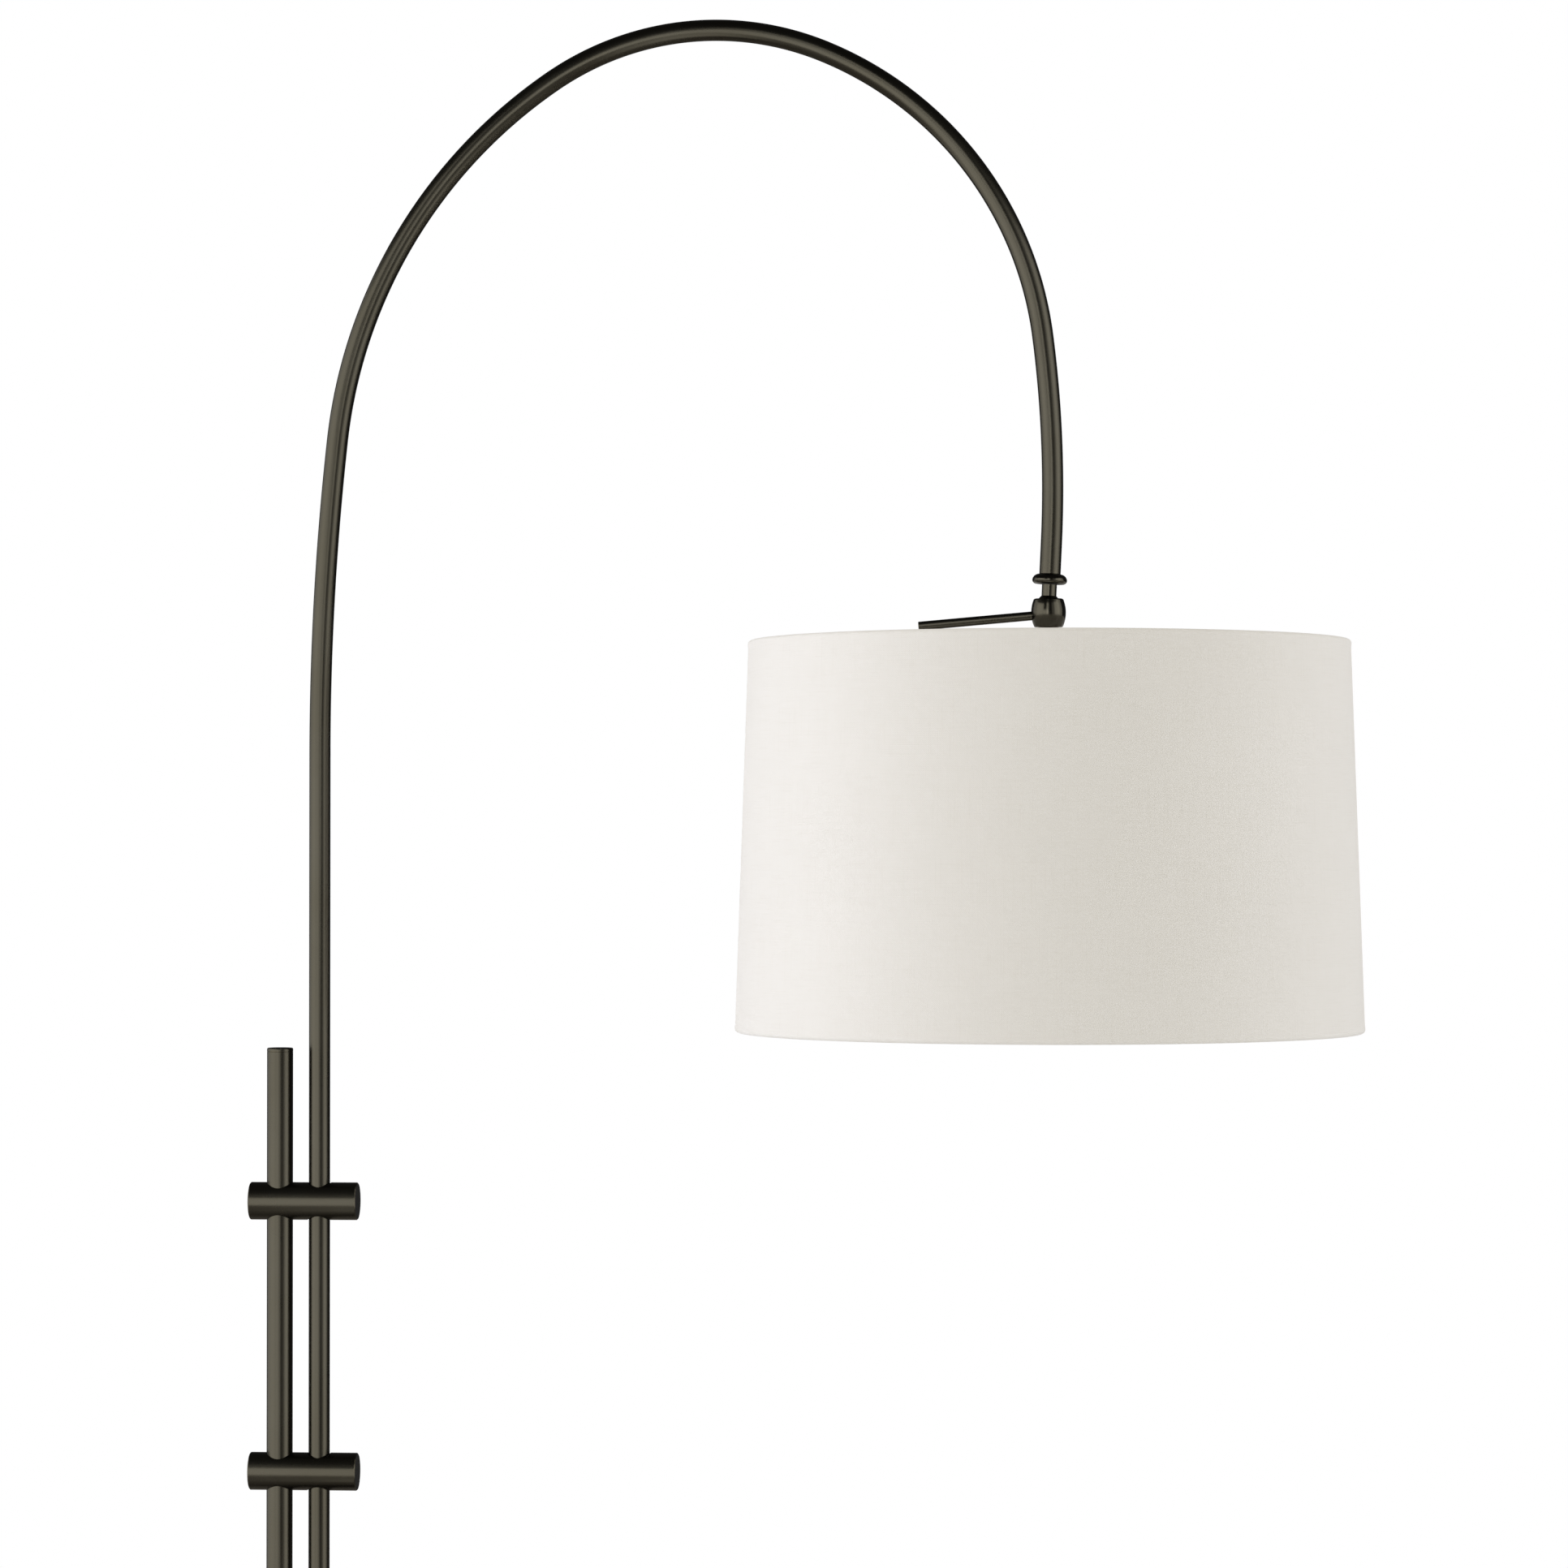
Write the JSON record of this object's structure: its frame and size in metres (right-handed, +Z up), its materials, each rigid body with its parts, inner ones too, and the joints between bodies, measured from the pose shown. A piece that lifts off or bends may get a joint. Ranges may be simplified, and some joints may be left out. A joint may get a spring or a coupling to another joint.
{
  "type": "arc floor lamp",
  "caption": "Floor lamp with a round weighted foot, a straight post, cross bars that carry a sliding arched arm, and a drum shade on a ball joint.",
  "frame": {"origin": "centre of the foot's underside, where the post's axis meets the floor", "axes": "+Z up along the post, +X from the post towards the shade, +Y to the lamp's back, where the thumbscrews are"},
  "size_m": [1.0978, 0.53, 2.1347],
  "materials": {
    "bronze": "dark bronze, satin",
    "zinc_steel": "zinc plated",
    "cast_iron": "rough cast, painted black",
    "felt": "pressed felt",
    "nylon": "black nylon",
    "rubber": "moulded, matt",
    "lead_insulation": "insulated stranded wire",
    "splice_sleeve": "crimped insulated sleeve",
    "brass": "satin",
    "shade_wire": "white powder coat",
    "linen": "off-white linen weave",
    "shade_backing": "white laminated sheet",
    "cardboard": "pressed fibre",
    "porcelain": "glazed",
    "aluminium": "drawn, bright",
    "knob_plastic": "moulded, gloss",
    "bulb_glass": "white coated inside"
  },
  "bodies": {
    "stand": {"foot_felt": "felt", "foot_weight": "cast_iron", "foot_shell": "bronze", "foot_washer": "zinc_steel", "foot_spring_washer": "zinc_steel", "foot_nut": "zinc_steel", "foot_stud": "zinc_steel", "post_collar": "bronze", "post_plug": "zinc_steel", "post_tube": "bronze", "post_cap": "bronze", "post_set_screws": "zinc_steel", "upper_cross_bar": "bronze", "lower_cross_bar": "bronze"},
    "upper_screw": {"upper_thumbscrew": "bronze"},
    "lower_screw": {"lower_thumbscrew": "bronze"},
    "liners": {"upper_arm_liner": "nylon", "lower_arm_liner": "nylon"},
    "arm": {"arm_tube": "bronze", "arm_end_bush": "rubber", "arm_end_plug": "zinc_steel", "arm_end_collar": "bronze", "arm_leads": "lead_insulation", "lead_splices": "splice_sleeve"},
    "stem": {"swivel_stem": "bronze", "swivel_washer": "nylon", "stem_spring_washer": "zinc_steel", "stem_nut": "zinc_steel"},
    "shade": {"ball_barrel": "bronze", "ball_seat": "nylon", "seat_spring": "zinc_steel", "barrel_plug": "zinc_steel", "shade_handle": "bronze", "shade_nipple": "brass", "nipple_nut": "brass", "spacer_sleeve": "bronze", "shade_spider": "shade_wire", "shade_bottom_wire": "shade_wire", "shade_fabric": "linen", "shade_liner": "shade_backing", "holder_cap": "brass", "holder_shell": "brass", "holder_insulator": "cardboard", "holder_core": "porcelain", "holder_screw_shell": "aluminium", "holder_contact": "brass", "holder_leads": "lead_insulation", "bulb_cap": "aluminium", "bulb_glass": "bulb_glass"},
    "switch": {"switch_knob": "knob_plastic"}
  },
  "joints": [
    {"name": "arm_swing", "type": "hinge", "parent": "stand", "child": "liners", "pos_m": [0.034, 0, 1.13], "axis": [0, 0, 1], "range_deg": [-170, 170]},
    {"name": "arm_height", "type": "slide", "parent": "liners", "child": "arm", "axis": [0, 0, 1], "range_m": [-0.355, 0.1]},
    {"name": "upper_screw_turn", "type": "hinge", "parent": "stand", "child": "upper_screw", "pos_m": [0.034, 0.02, 1.13], "axis": [0, 1, 0], "range_deg": [0, 360]},
    {"name": "lower_screw_turn", "type": "hinge", "parent": "stand", "child": "lower_screw", "pos_m": [0.034, 0.02, 0.9], "axis": [0, 1, 0], "range_deg": [0, 360]},
    {"name": "shade_swivel", "type": "hinge", "parent": "arm", "child": "stem", "pos_m": [0.65605, 0, 1.66214], "axis": [-0.0471, 0, -0.9989], "range_deg": [-170, 170]},
    {"name": "shade_tilt", "type": "hinge", "parent": "stem", "child": "shade", "pos_m": [0.65481, 0, 1.63597], "axis": [0, 1, 0], "range_deg": [-15, 15]},
    {"name": "switch_turn", "type": "hinge", "parent": "shade", "child": "switch", "pos_m": [0.65481, -0.03, 1.5732], "axis": [0, -1, 0], "continuous": true}
  ]
}
